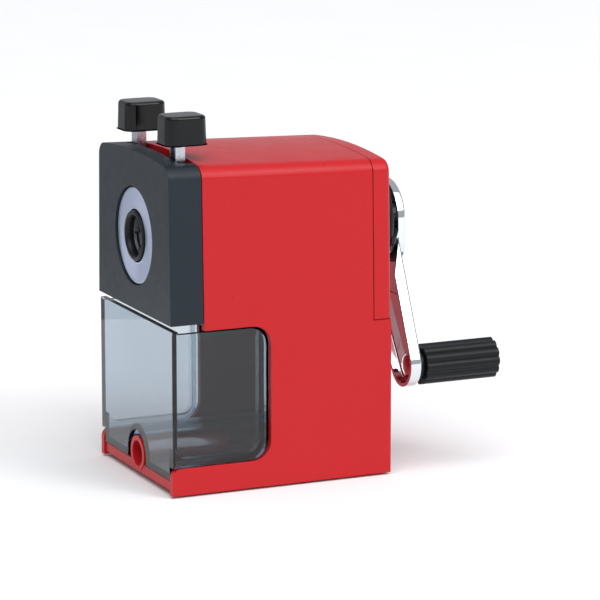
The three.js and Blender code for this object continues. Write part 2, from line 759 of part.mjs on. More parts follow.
body([
  ["head_shell", headShell(), "slate"],
  ["head_back_plate", headBackPlate(), "zinc"],
  ...headScrewsAt.map(({ x, z }, i) => [`head_screw_${i + 1}`, screw(x, z, 12.1, 2.2, 0.7, 1.1, 5), "steel"]),
  ["bezel_ring", bezelRing(), "silver"],
  ["chuck_guide", chuckGuide(), "slate"],
  ["chuck_body", chuckBody(), "zinc"],
  ...bothSides.map((side, i) => [`guide_rod_${i + 1}`, rod(2, 3.3, rodEnd, side * rodX, rodZ), "steel"]),
  ...bothSides.map((side, i) => [
    `rod_clip_${i + 1}`,
    ring(2.3, 4, 63.4, 64.4, side * rodX, rodZ, 20),
    "steel",
  ]),
  ["lever_spring", solid(leverSpringPlace), "steel"],
]);

body([
  ["left_lever", lever(-1), "zinc"],
  ["left_cap", leverCap(-1), "black"],
]);
body([
  ["right_lever", lever(1), "zinc"],
  ["right_cap", leverCap(1), "black"],
]);
jawAngles.forEach((angle, i) => body([[`jaw_${i + 1}`, jaw(angle), "steel"]]));

const cutterPivot = new THREE.Vector3(0, coneTipY, axisZ - cutterRadius / Math.cos(coneAngle));

function onCutterAxis(made) {
  const { x, y, z } = cutterPivot;
  return solid(geometryOf(made).rotateX(coneAngle).translate(x, y, z));
}

body([
  ["crank_arm", crankArm(), "chrome"],
  ["crank_nut", crankNut(), "steel"],
  ["handle_pin", handlePin(), "chrome"],
  ["grip_collar", gripCollar(), "black"],
  ["drive_shaft", driveShaft(), "steel"],
  ["carrier", carrier(onCutterAxis(rod(1.8, -40, 20, 0, 0))), "zinc"],
  ["cutter_axle", onCutterAxis(cutterAxle()), "steel"],
  ["cutter_washer", onCutterAxis(cutterWasher()), "brass"],
]);
body([
  ["helical_cutter", onCutterAxis(helicalCutter()), "steel"],
  ["cutter_pinion", onCutterAxis(cutterPinion()), "steel"],
]);
body([["grip", grip(), "black"]]);
body([["drawer", drawer(), "smoke"]]);

assembly.position.y = -(guideFront + gripEnd) / 2;

export default assembly;
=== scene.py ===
import math

import bmesh
import bpy
from mathutils import Matrix, Vector


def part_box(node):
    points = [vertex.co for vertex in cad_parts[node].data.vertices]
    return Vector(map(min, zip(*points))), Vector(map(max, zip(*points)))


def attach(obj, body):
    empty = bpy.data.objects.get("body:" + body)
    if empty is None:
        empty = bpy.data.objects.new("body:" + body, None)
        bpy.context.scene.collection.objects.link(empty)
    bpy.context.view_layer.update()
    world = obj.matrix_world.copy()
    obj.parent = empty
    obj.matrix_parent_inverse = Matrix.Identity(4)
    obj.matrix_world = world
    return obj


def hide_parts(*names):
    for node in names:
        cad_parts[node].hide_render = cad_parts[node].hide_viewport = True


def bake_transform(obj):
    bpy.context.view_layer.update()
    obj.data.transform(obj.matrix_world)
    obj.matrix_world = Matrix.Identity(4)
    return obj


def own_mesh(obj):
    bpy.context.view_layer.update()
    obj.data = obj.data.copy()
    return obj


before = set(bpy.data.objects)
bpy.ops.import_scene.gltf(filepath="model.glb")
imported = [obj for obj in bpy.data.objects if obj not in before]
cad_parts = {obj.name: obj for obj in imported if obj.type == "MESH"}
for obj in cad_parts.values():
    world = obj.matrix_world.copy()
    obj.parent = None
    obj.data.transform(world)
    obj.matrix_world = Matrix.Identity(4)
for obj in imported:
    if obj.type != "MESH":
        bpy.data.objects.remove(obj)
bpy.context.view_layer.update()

# A desk pencil sharpener. Lengths are in millimetres, and y counts back from the front of its base.
mm = 0.001
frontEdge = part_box("housing")[0].y


def at(x, y, z):
    return Vector((x * mm, y * mm + frontEdge, z * mm))


def inMillimetres(point):
    return Vector((point.x, point.y - frontEdge, point.z)) / mm


def boxOf(node):
    low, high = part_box(node)
    return inMillimetres(low), inMillimetres(high)


def middleOf(node):
    low, high = boxOf(node)
    return (low + high) / 2


def middlesOf(name, count):
    # the middles of the nodes that share a name and are numbered from 1
    return [middleOf(f"{name}_{i}") for i in range(1, count + 1)]


pencilZ = middleOf("bezel_ring").z
sides = (-1, 1)


# Camera, floor and light

view = {
    "target": (0, 59.73, 54.89),
    "azimuth": 65.71,
    "elevation": 11.78,
    "distance": 1150,
    "lens": 205.08,
}


def towards(azimuth, elevation):
    # azimuth 0 is in front of the sharpener and 90 is on its +X side
    around, above = math.radians(azimuth), math.radians(elevation)
    return Vector((math.sin(around) * math.cos(above), -math.cos(around) * math.cos(above), math.sin(above)))


def addCamera():
    back = towards(view["azimuth"], view["elevation"])
    camera = bpy.data.objects.new("camera", bpy.data.cameras.new("camera"))
    bpy.context.scene.collection.objects.link(camera)
    camera.location = at(*view["target"]) + back * view["distance"] * mm
    camera.rotation_euler = (-back).to_track_quat("-Z", "Y").to_euler()
    camera.data.lens = view["lens"]
    camera.data.clip_end = 50
    bpy.context.scene.camera = camera


def linear(hexColour):
    # sRGB hex to the linear colour that shaders work in
    channels = [int(hexColour[i : i + 2], 16) / 255 for i in (1, 3, 5)]
    return tuple(c / 12.92 if c <= 0.04045 else ((c + 0.055) / 1.055) ** 2.4 for c in channels) + (1.0,)


def addNode(tree, kind, settings=None, links=None):
    node = tree.nodes.new(kind)
    for name, value in (settings or {}).items():
        if name in node.inputs:
            node.inputs[name].default_value = value
        else:
            setattr(node, name, value)
    for name, source in (links or {}).items():
        tree.links.new(source, node.inputs[name])
    return node


def addMaterial(name, settings):
    material = bpy.data.materials.new(name)
    material.use_nodes = True
    tree = material.node_tree
    shader = tree.nodes["Principled BSDF"]
    for socket, value in settings.items():
        shader.inputs[socket].default_value = value
    place = addNode(tree, "ShaderNodeTexCoord").outputs["Object"]
    return material, tree, shader, place


def addNoise(tree, place, size, detail=2.0):
    # size is the width of one patch in millimetres
    return addNode(
        tree, "ShaderNodeTexNoise", {"Scale": 1 / (size * mm), "Detail": detail}, {"Vector": place}
    ).outputs["Fac"]


def spread(tree, value, low, high):
    return addNode(
        tree,
        "ShaderNodeMapRange",
        {"From Min": 0.25, "From Max": 0.75, "To Min": low, "To Max": high},
        {"Value": value},
    ).outputs["Result"]


def addBump(tree, shader, height, depth):
    # depth is how far the surface rises and falls, in millimetres
    bump = addNode(tree, "ShaderNodeBump", {"Distance": depth * mm, "Strength": 1.0}, {"Height": height})
    tree.links.new(bump.outputs["Normal"], shader.inputs["Normal"])


def roughen(tree, shader, value, low, high):
    tree.links.new(spread(tree, value, low, high), shader.inputs["Roughness"])


def tintBetween(tree, shader, value, first, second):
    ramp = addNode(tree, "ShaderNodeMix", {"data_type": "RGBA"})
    ramp.inputs[6].default_value = linear(first)
    ramp.inputs[7].default_value = linear(second)
    tree.links.new(value, ramp.inputs[0])
    tree.links.new(ramp.outputs[2], shader.inputs["Base Color"])


studio = {
    "middle": (0, 50, 60),
    "floorSize": 40000,
    "floorColours": ("#F6F6F6", "#FAFAFA"),
    "worldColour": "#F1F4FA",
    "worldStrength": 0.50,
    "sun": {"azimuth": 80, "elevation": 62, "distance": 3000, "spreadDegrees": 70, "strength": 1.7},
    "card": {"azimuth": -66, "distance": 240, "width": 440, "height": 190, "clear": 2},
    "lamps": [
        # name, azimuth, elevation, distance, width, height, power
        ("overheadSoftbox", 60, 66, 3000, 2600, 2600, 16.0),
        ("sideSoftbox", 122, 36, 2600, 900, 1500, 16.0),
    ],
}


def addLamp(name, kind, azimuth, elevation, distance):
    back = towards(azimuth, elevation)
    lamp = bpy.data.objects.new(name, bpy.data.lights.new(name, kind))
    lamp.location = at(*studio["middle"]) + back * distance * mm
    lamp.rotation_euler = (-back).to_track_quat("-Z", "Y").to_euler()
    bpy.context.scene.collection.objects.link(lamp)
    return lamp.data


def addStudio():
    bpy.ops.mesh.primitive_plane_add(size=studio["floorSize"] * mm, location=(0, 0, 0))
    floor = bpy.context.active_object
    floor.name = "floor"
    material, tree, shader, place = addMaterial("paleMattBoard", {"Roughness": 0.9})
    tintBetween(tree, shader, addNoise(tree, place, 60), *studio["floorColours"])
    floor.data.materials.append(material)
    world = bpy.data.worlds.new("studio")
    world.use_nodes = True
    background = world.node_tree.nodes["Background"]
    background.inputs["Color"].default_value = linear(studio["worldColour"])
    background.inputs["Strength"].default_value = studio["worldStrength"]
    bpy.context.scene.world = world
    sun = studio["sun"]
    daylight = addLamp("wideSun", "SUN", sun["azimuth"], sun["elevation"], sun["distance"])
    daylight.angle = math.radians(sun["spreadDegrees"])
    daylight.energy = sun["strength"]
    for name, azimuth, elevation, distance, width, height, power in studio["lamps"]:
        softbox = addLamp(name, "AREA", azimuth, elevation, distance)
        softbox.shape = "RECTANGLE"
        softbox.size = width * mm
        softbox.size_y = height * mm
        softbox.energy = power
    # a grey card beside the front, seen only in reflections, keeps the head dark against the pale floor
    board = studio["card"]
    middle = at(0, 0, board["height"] / 2 + board["clear"])
    middle += towards(board["azimuth"], 0) * board["distance"] * mm
    bpy.ops.mesh.primitive_plane_add(
        size=mm, location=middle, rotation=(math.pi / 2, 0, math.radians(board["azimuth"]))
    )
    card = bpy.context.active_object
    card.name = "greyCard"
    card.scale = (board["width"], board["height"], 1)
    grey, tree, shader, place = addMaterial("greyCardboard", {"Roughness": 1.0, "Specular IOR Level": 0.0})
    tintBetween(tree, shader, addNoise(tree, place, 20), "#B4B6B9", "#BCBEC1")
    card.data.materials.append(grey)
    card.visible_camera = False
    card.visible_diffuse = False
    card.visible_shadow = False
    card.visible_transmission = False
    bpy.context.scene.view_settings.view_transform = "Standard"


addCamera()
addStudio()
print("camera, floor and light")


# Materials, each named for what the real one is and how its surface was made


def addFinish(name, settings, tint, gloss, bump=None):
    # tint is a noise and two colours, gloss a noise and the roughness it varies between, and bump a noise
    # and a depth; a noise is the width of its patches in millimetres, and the detail in them
    material, tree, shader, place = addMaterial(name, settings)
    noise, first, second = tint
    tintBetween(tree, shader, addNoise(tree, place, *noise), first, second)
    noise, low, high = gloss
    roughen(tree, shader, addNoise(tree, place, *noise), low, high)
    if bump:
        noise, depth = bump
        addBump(tree, shader, addNoise(tree, place, *noise), depth)
    return material


def smokePolystyrene():
    # clear smoke-grey polystyrene: a bluish tint through the wall, nearly black where seen end on
    material, tree, shader, place = addMaterial(
        "smokePolystyrene",
        {"IOR": 1.49, "Transmission Weight": 1.0, "Base Color": (1.0, 1.0, 1.0, 1.0)},
    )
    roughen(tree, shader, addNoise(tree, place, 14), 0.01, 0.03)
    depth = addNode(tree, "ShaderNodeVolumeAbsorption", {"Color": linear("#5C93AE"), "Density": 235.0})
    tree.links.new(depth.outputs["Volume"], tree.nodes["Material Output"].inputs["Volume"])
    return material


def chromePlatedSteel():
    # pressed steel with bright chrome: mirror reflections, very slightly uneven from the press
    material, tree, shader, place = addMaterial(
        "chromePlatedSteel", {"Metallic": 1.0, "Base Color": linear("#E4E7EC")}
    )
    roughen(tree, shader, addNoise(tree, place, 5), 0.05, 0.09)
    addBump(tree, shader, addNoise(tree, place, 6.0, 1.0), 0.03)
    return material


def turnedAluminium():
    # anodised aluminium turned on a lathe: rings too fine to see that pull the light into wedges
    material, tree, shader, place = addMaterial(
        "turnedAluminium", {"Metallic": 1.0, "Anisotropic": 0.8, "Roughness": 0.34}
    )
    centred = addNode(
        tree, "ShaderNodeMapping", {"Location": -at(0, 0, pencilZ)}, {"Vector": place}
    ).outputs["Vector"]
    # turning marks of 0.08 mm, drawn at 0.5 mm
    rings = addNode(
        tree,
        "ShaderNodeTexWave",
        {"wave_type": "RINGS", "rings_direction": "Y", "Scale": 0.31 / (0.5 * mm), "Distortion": 0.3},
        {"Vector": centred},
    ).outputs["Fac"]
    tintBetween(tree, shader, rings, "#C2CCE4", "#CED8EE")
    tangent = addNode(tree, "ShaderNodeTangent", {"direction_type": "RADIAL", "axis": "Y"})
    tree.links.new(tangent.outputs["Tangent"], shader.inputs["Tangent"])
    return material


def groundSteel():
    # ground tool steel: fine straight scratches from the wheel
    material, tree, shader, place = addMaterial("groundSteel", {"Metallic": 1.0})
    along = addNode(
        tree, "ShaderNodeMapping", {"Scale": (1.0, 0.06, 1.0)}, {"Vector": place}
    ).outputs["Vector"]
    scratches = addNoise(tree, along, 0.3)
    tintBetween(tree, shader, scratches, "#9A9DA3", "#C0C3C8")
    roughen(tree, shader, scratches, 0.18, 0.36)
    return material


# red ABS from a polished mould: an even, slightly wavy gloss with a broad soft highlight
redPlastic = addFinish(
    "glossyAbsMoulded",
    {"IOR": 1.54, "Specular IOR Level": 0.2},
    tint=((35, 1), "#BB1D22", "#BF2026"),
    gloss=((9, 2), 0.27, 0.34),
    bump=((5, 1), 0.02),
)
# dark slate ABS from a finely etched mould: a grey sheen, no clear reflections; its grain of 0.1 mm is
# drawn at 0.35 mm so that it shows
slatePlastic = addFinish(
    "satinAbsMoulded",
    {"IOR": 1.54, "Specular IOR Level": 0.2},
    tint=((20, 1), "#1F272E", "#242C33"),
    gloss=((3, 2), 0.36, 0.44),
    bump=((0.35, 2), 0.012),
)
# black ABS from a mirror-polished mould: black with broad clear reflections
blackPlastic = addFinish(
    "blackAbsPolished",
    {"IOR": 1.54, "Specular IOR Level": 0.25},
    tint=((12, 2), "#08090A", "#0C0D0F"),
    gloss=((4, 2), 0.10, 0.16),
    bump=((3.5, 1), 0.012),
)
# black nylon of the grip and the collars: low sheen, faintly grained
nylon = addFinish(
    "blackNylonMoulded",
    {"IOR": 1.53, "Specular IOR Level": 0.22},
    tint=((6, 2), "#0E1013", "#13161A"),
    gloss=((2, 2), 0.30, 0.42),
    bump=((0.4, 2), 0.012),
)
smokePlastic = smokePolystyrene()
chrome = chromePlatedSteel()
ringMetal = turnedAluminium()
# zinc-plated sheet steel: bright with a slightly cloudy grey bloom
zincSheet = addFinish(
    "zincPlatedSheet", {"Metallic": 1.0}, tint=((2.5, 2), "#B7BBC2", "#CDD1D8"), gloss=((1.5, 2), 0.20, 0.34)
)
steel = groundSteel()
# die-cast zinc: dull grey and slightly pebbled
zincCasting = addFinish(
    "castZinc",
    {"Metallic": 1.0},
    tint=((3, 2), "#8E9196", "#A2A5AA"),
    gloss=((1.2, 2), 0.42, 0.58),
    bump=((0.6, 2), 0.03),
)
# free-cutting brass from a lathe: yellow with faint tarnish
brass = addFinish(
    "turnedBrass", {"Metallic": 1.0}, tint=((2, 2), "#B7954E", "#CDAE68"), gloss=((1, 2), 0.22, 0.36)
)
# matt black rubber of the feet, dusty in places
rubber = addFinish(
    "mouldedRubber",
    {"IOR": 1.52},
    tint=((3, 2), "#1A1A1B", "#242425"),
    gloss=((1.5, 2), 0.72, 0.88),
    bump=((0.5, 2), 0.03),
)
print("materials")


# Working steps that the pieces below share


def only(piece):
    bpy.ops.object.select_all(action="DESELECT")
    piece.select_set(True)
    bpy.context.view_layer.objects.active = piece


def edit(piece):
    only(piece)
    bpy.ops.object.mode_set(mode="EDIT")


def editAll(piece):
    edit(piece)
    bpy.ops.mesh.select_all(action="SELECT")


def done():
    bpy.ops.object.mode_set(mode="OBJECT")


def named(name):
    piece = bpy.context.active_object
    piece.name = name
    piece.data.name = name
    only(piece)
    bpy.ops.object.transform_apply(location=True, rotation=True, scale=True)
    return piece


def addBlock(name, xs, ys, zs):
    bpy.ops.object.select_all(action="DESELECT")
    middle = at(sum(xs) / 2, sum(ys) / 2, sum(zs) / 2)
    bpy.ops.mesh.primitive_cube_add(size=mm, location=middle)
    bpy.context.active_object.scale = (xs[1] - xs[0], ys[1] - ys[0], zs[1] - zs[0])
    return named(name)


def addRod(name, radius, ys, x=0, z=None, sides=48):
    # a cylinder along y
    bpy.ops.object.select_all(action="DESELECT")
    bpy.ops.mesh.primitive_cylinder_add(
        vertices=sides,
        radius=radius * mm,
        depth=(ys[1] - ys[0]) * mm,
        location=at(x, sum(ys) / 2, pencilZ if z is None else z),
        rotation=(math.pi / 2, 0, 0),
    )
    return named(name)


def addPost(name, radius, zs, x, y, sides=32):
    # a cylinder standing up
    bpy.ops.object.select_all(action="DESELECT")
    bpy.ops.mesh.primitive_cylinder_add(
        vertices=sides, radius=radius * mm, depth=(zs[1] - zs[0]) * mm, location=at(x, y, sum(zs) / 2)
    )
    return named(name)


def pick(piece, kind, test):
    # Selects in edit mode what test accepts: it gets a vertex, the two ends of an edge, or the middle
    # and normal of a face, in millimetres.
    bpy.ops.mesh.select_mode(type=kind)
    bpy.ops.mesh.select_all(action="DESELECT")
    made = bmesh.from_edit_mesh(piece.data)
    if kind == "VERT":
        for vertex in made.verts:
            vertex.select_set(bool(test(inMillimetres(vertex.co))))
    elif kind == "EDGE":
        for edge in made.edges:
            if test(inMillimetres(edge.verts[0].co), inMillimetres(edge.verts[1].co)):
                edge.select_set(True)
    else:
        for face in made.faces:
            if test(inMillimetres(face.calc_center_median()), face.normal):
                face.select_set(True)
    made.select_flush_mode()
    bmesh.update_edit_mesh(piece.data)


def near(a, b, slack=0.05):
    return abs(a - b) < slack


def bevelEdges(piece, test, width, segments):
    edit(piece)
    pick(piece, "EDGE", test)
    bpy.ops.mesh.bevel(offset=width * mm, segments=segments, profile=0.5, affect="EDGES", clamp_overlap=True)
    done()


def combine(piece, tool, operation="DIFFERENCE"):
    only(piece)
    modifier = piece.modifiers.new("combine", "BOOLEAN")
    modifier.operation = operation
    modifier.solver = "EXACT"
    modifier.object = tool
    bpy.ops.object.modifier_apply(modifier=modifier.name)
    bpy.data.objects.remove(tool)


def cut(piece, *tools):
    for tool in tools:
        combine(piece, tool)


def add(piece, *tools):
    for tool in tools:
        combine(piece, tool, "UNION")


def roundEdges(piece, width, segments=3, angle=35):
    only(piece)
    modifier = piece.modifiers.new("round", "BEVEL")
    modifier.width = width * mm
    modifier.segments = segments
    modifier.limit_method = "ANGLE"
    modifier.angle_limit = math.radians(angle)
    modifier.use_clamp_overlap = True
    bpy.ops.object.modifier_apply(modifier=modifier.name)


def drawAndSpin(name, profile, x=0, z=None, steps=64):
    # One point is drawn out along the profile of (radius, y) points, then spun about its axis.
    centre = at(x, 0, pencilZ if z is None else z)
    bpy.ops.object.select_all(action="DESELECT")
    first = Vector((profile[0][0] * mm, profile[0][1] * mm, 0))
    bpy.ops.mesh.primitive_plane_add(size=mm, location=centre + first)
    piece = bpy.context.active_object
    bpy.ops.object.mode_set(mode="EDIT")
    bpy.ops.mesh.select_mode(type="VERT")
    bpy.ops.mesh.select_all(action="SELECT")
    bpy.ops.mesh.merge(type="CENTER")
    for (r0, y0), (r1, y1) in zip(profile, profile[1:]):
        step = ((r1 - r0) * mm, (y1 - y0) * mm, 0)
        bpy.ops.mesh.extrude_region_move(TRANSFORM_OT_translate={"value": step})
    bpy.ops.mesh.select_all(action="SELECT")
    bpy.ops.mesh.spin(steps=steps, angle=2 * math.pi, center=centre, axis=(0, 1, 0))
    bpy.ops.mesh.select_all(action="SELECT")
    bpy.ops.mesh.remove_doubles(threshold=0.001 * mm)
    bpy.ops.mesh.normals_make_consistent(inside=False)
    done()
    return named(name)


def copyOf(piece, name, shift=(0, 0, 0)):
    only(piece)
    bpy.ops.object.duplicate()
    twin = bpy.context.active_object
    twin.data.materials.clear()
    twin.location = Vector(shift) * mm
    return named(name)


turnSign = -1  # with no window, a positive value turns against the right-hand rule


def turnWhole(piece, angle, axis, centre):
    editAll(piece)
    bpy.ops.transform.rotate(
        value=turnSign * angle, orient_axis=axis, orient_type="GLOBAL", center_override=centre
    )
    done()


def turnAbout(piece, angle):
    # a turn about the pencil, clockwise as seen from the front
    turnWhole(piece, angle, "Y", at(0, 0, pencilZ))


def finishPiece(piece, body, slot, material, *nodes, smooth=38):
    editAll(piece)
    bpy.ops.mesh.remove_doubles(threshold=0.002 * mm)
    bpy.ops.mesh.normals_make_consistent(inside=False)
    done()
    only(piece)
    bpy.ops.object.shade_smooth_by_angle(angle=math.radians(smooth))
    even = piece.modifiers.new("evenShading", "WEIGHTED_NORMAL")
    even.keep_sharp = True
    even.weight = 60
    bpy.ops.object.modifier_apply(modifier=even.name)
    piece.data.materials.clear()
    piece.data.materials.append(material)
    if body:
        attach(piece, body)
    if nodes:
        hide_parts(*nodes)
    return piece


# The sharpener's cross-section, shared by the housing, covers, head and drawer front

section = {
    "halfWidth": boxOf("housing")[1].x,
    "waistZ": boxOf("head_shell")[0].z,
    "lean": 1.3,
    "leanHeight": 46.8,
    "crownZ": 110.1,
    "eave": 1.94,
    "shoulder": 3.94,
    "shoulderSteps": 8,
    "roofStrips": 10,
    "fall": 2.5,
    "depth": 78.5,
}


def bodyBlank(name, inset, ys, bottom):
    waist = section["waistZ"]
    top = section["crownZ"] - section["eave"] - inset
    half = section["halfWidth"] - inset

    def halfAt(z):
        return half - section["lean"] * max(0, z - waist) / section["leanHeight"]

    piece = addBlock(name, (-half, half), ys, (bottom, top))
    edit(piece)
    if bottom < waist:
        bpy.ops.mesh.select_all(action="SELECT")
        bpy.ops.mesh.bisect(plane_co=at(0, 0, waist), plane_no=(0, 0, 1))
    else:
        pick(piece, "VERT", lambda p: near(p.z, bottom))
        bpy.ops.transform.resize(value=(halfAt(bottom) / half, 1, 1), center_override=at(0, 0, bottom))
    pick(piece, "VERT", lambda p: near(p.z, top))
    topHalf = halfAt(top)
    bpy.ops.transform.resize(value=(topHalf / half, 1, 1), center_override=at(0, 0, top))
    # the roof's arch: its front and rear edges are divided, and each pair of points is lifted
    pick(piece, "EDGE", lambda a, b: near(a.z, top) and near(b.z, top) and near(a.y, b.y))
    strips = section["roofStrips"]
    bpy.ops.mesh.subdivide(number_cuts=strips - 1)
    for i in range(1, strips):
        x = topHalf * (2 * i / strips - 1)
        pick(piece, "VERT", lambda p: near(p.x, x) and near(p.z, top))
        lift = section["eave"] * (1 - (x / topHalf) ** 2)
        bpy.ops.transform.translate(value=(0, 0, lift * mm))
    pick(piece, "EDGE", lambda a, b: near(abs(a.x), topHalf) and near(a.x, b.x) and near(a.z + b.z, 2 * top))
    bpy.ops.mesh.bevel(
        offset=(section["shoulder"] - min(inset, 2.4) * 0.85) * mm,
        segments=section["shoulderSteps"],
        affect="EDGES",
    )
    for y in ys:
        pick(piece, "VERT", lambda p: near(p.y, y) and p.z > waist + 0.05)
        share = 1 - section["fall"] / (section["crownZ"] - waist) * y / section["depth"]
        bpy.ops.transform.resize(value=(1, 1, share), center_override=at(0, 0, waist))
    done()
    return piece


def roundedBlock(name, xs, ys, zs, radius, segments=8):
    # a block whose four edges along x are rounded
    piece = addBlock(name, xs, ys, zs)
    bevelEdges(piece, lambda a, b: not near(a.x, b.x), radius, segments)
    return piece


everywhere = (-60, 60)
screwHole = {"shank": 1.7, "head": 3.3, "tapped": 1.4}

housing = {
    "wall": 2.4,
    "lipZ": 9.8,
    "headGapY": 11.5,
    "windowEndY": 35,
    "windowTopZ": 54.8,
    "windowRadius": 6.5,
    "seamY": 71.9,
    "ledgeZ": 53,
    "lipRadius": 3,
    "rearRadius": 1.6,
    "edge": 0.45,
}


def makeHousing():
    low, high = boxOf("housing")
    wall = housing["wall"]
    shell = bodyBlank("housingShell", 0, (low.y, high.y), low.z)
    bevelEdges(
        shell,
        lambda a, b: near(a.y, high.y)
        and near(b.y, high.y)
        and near(abs(a.x), high.x, 2)
        and near(a.x, b.x, 1.5),
        housing["rearRadius"],
        4,
    )
    cut(
        shell,
        bodyBlank("core", wall, (low.y - 1, high.y - wall), low.z - 2),
        addBlock("mouth", everywhere, (-2, housing["headGapY"]), (housing["lipZ"], 130)),
        addBlock("rearWay", everywhere, (housing["seamY"], 90), (housing["ledgeZ"], 130)),
        roundedBlock(
            "window",
            everywhere,
            (-20, housing["windowEndY"]),
            (housing["lipZ"], housing["windowTopZ"]),
            housing["windowRadius"],
        ),
    )
    bevelEdges(
        shell,
        lambda a, b: near(a.y, low.y) and near(b.y, low.y) and near(a.z, housing["lipZ"]) and near(b.z, a.z),
        housing["lipRadius"],
        6,
    )
    roundEdges(shell, housing["edge"])
    finishPiece(shell, "stand", "red_plastic", redPlastic, "housing")


rearCover = {
    "inset": 2,
    "panel": 2.4,
    "bossRadius": 9.5,
    "boreRadius": 6.8,
    "rim": 1.6,
    "sinkDepth": 1.3,
    "edge": 0.3,
}


def makeRearCover():
    low, high = boxOf("rear_cover")
    shell = bodyBlank("rearCoverShell", 0, (low.y, high.y), low.z)
    bevelEdges(
        shell,
        lambda a, b: near(a.y, high.y) and near(b.y, high.y) and not (near(a.z, low.z) and near(b.z, low.z)),
        rearCover["rim"],
        4,
    )
    panelY = high.y - rearCover["panel"]
    cut(shell, bodyBlank("core", rearCover["inset"], (low.y - 1, panelY), low.z - 10))
    add(shell, addRod("boss", rearCover["bossRadius"], (low.y, panelY + 1)))
    cut(shell, addRod("bore", rearCover["boreRadius"], (low.y - 2, high.y + 2)))
    sinkY = high.y - rearCover["sinkDepth"]
    for screw in middlesOf("cover_screw", 2):
        cut(
            shell,
            addRod("hole", screwHole["shank"], (low.y - 2, high.y + 2), screw.x, screw.z, 20),
            addRod("sink", screwHole["head"], (sinkY, high.y + 2), screw.x, screw.z, 32),
        )
    roundEdges(shell, rearCover["edge"])
    finishPiece(shell, "stand", "red_plastic", redPlastic, "rear_cover")


basePlate = {
    "floorTop": 4,
    "stripY": 2.8,
    "socketRadius": 6,
    "socketBore": 4.3,
    "socketZ": 8,
    "socketEnd": 30.5,
    "frontY": 0.6,
    "stripTop": 5.1,
    "footRecess": 5.8,
    "recessTop": 3.2,
    "edge": 0.35,
}


def makeBasePlate():
    low, high = boxOf("base_plate")
    frontY, recess = basePlate["frontY"], (-1, basePlate["recessTop"])
    socketZ, socketEnd = basePlate["socketZ"], basePlate["socketEnd"]
    plate = addBlock("baseFloor", (low.x, high.x), (frontY, high.y), (low.z, basePlate["floorTop"]))
    stripZ = (low.z + 0.1, basePlate["stripTop"])
    add(
        plate,
        addBlock("strip", (low.x, high.x), (frontY, basePlate["stripY"]), stripZ),
        addRod("socket", basePlate["socketRadius"], (low.y, socketEnd), 0, socketZ),
    )
    cut(plate, addRod("bore", basePlate["socketBore"], (-2, socketEnd - 2), 0, socketZ))
    for foot in middlesOf("foot", 4):
        cut(plate, addPost("recess", basePlate["footRecess"], recess, foot.x, foot.y))
    for screw in middlesOf("base_screw", 2):
        cut(
            plate,
            addPost("sink", screwHole["head"], recess, screw.x, screw.y),
            addPost("hole", screwHole["shank"], (-1, 8), screw.x, screw.y, 20),
        )
    roundEdges(plate, basePlate["edge"])
    finishPiece(plate, "stand", "red_plastic", redPlastic, "base_plate")


drawer = {
    "wall": 2,
    "halfInner": 29,
    "trayTop": 51,
    "bottom": 5.5,
    "frontTop": 55.2,
    "cheekEnd": 33.2,
    "cheekTop": 54.3,
    "cheekRadius": 5.5,
    "lip": 10.1,
    "tunnelRadius": 8,
    "pocketRadius": 3.5,
    "gap": 0.1,
    "edge": 0.3,
}


def archedWay(name, radius, ys):
    way = addRod(name, radius, ys, 0, basePlate["socketZ"])
    add(way, addBlock("below", (-radius, radius), ys, (-4, basePlate["socketZ"])))
    return way


def makeDrawer():
    low, high = boxOf("drawer")
    wall = drawer["wall"]
    half = drawer["halfInner"]
    tray = addBlock("drawerTray", (-half, half), (low.y, high.y), (drawer["bottom"], drawer["trayTop"]))
    inside = addBlock(
        "inside", (-half + wall, half - wall), (low.y + wall, high.y - wall), (drawer["bottom"] + wall, 70)
    )
    cut(tray, inside)
    front = bodyBlank("front", drawer["gap"], (low.y, low.y + wall), drawer["lip"])
    cut(front, addBlock("above", everywhere, (-5, 20), (drawer["frontTop"], 130)))
    add(tray, front)
    for side in sides:
        cheek = bodyBlank("cheek", drawer["gap"], (low.y, drawer["cheekEnd"]), drawer["lip"])
        reach = sorted((side * (half - 1), side * 60))
        window = roundedBlock(
            "window",
            reach,
            (-20, drawer["cheekEnd"]),
            (drawer["lip"] + drawer["gap"], drawer["cheekTop"]),
            drawer["cheekRadius"],
        )
        combine(cheek, window, "INTERSECT")
        add(tray, cheek)
    # behind the cheeks the inside is wider, so that their wall is no thicker than the rest
    pocketHalf = section["halfWidth"] - drawer["gap"] - wall
    pocketY = (low.y + wall, drawer["cheekEnd"] - wall)
    pocketZ = (drawer["lip"] + wall + 0.5, 60)
    cut(tray, roundedBlock("pocket", (-pocketHalf, pocketHalf), pocketY, pocketZ, drawer["pocketRadius"]))
    tunnel = archedWay("tunnel", drawer["tunnelRadius"] + wall, (low.y, high.y))
    combine(tunnel, addBlock("above", everywhere, (-5, 70), (drawer["bottom"], 60)), "INTERSECT")
    add(tray, tunnel)
    cut(tray, archedWay("way", drawer["tunnelRadius"], (low.y - 5, high.y + 5)))
    roundEdges(tray, drawer["edge"], 2)
    finishPiece(tray, "tray", "smoke_plastic", smokePlastic, "drawer")


head = {
    "wall": 2.2,
    "notch": 24,
    "notchY": 6.3,
    "notchZ": 102,
    "bezelHole": 16.4,
    "edge": 0.5,
    "inside": 1.8,
    "post": (2.6, 10),  # radius, and how far back it ends
    "boss": (3.4, 8.8),
    "bossBore": 2.3,
}


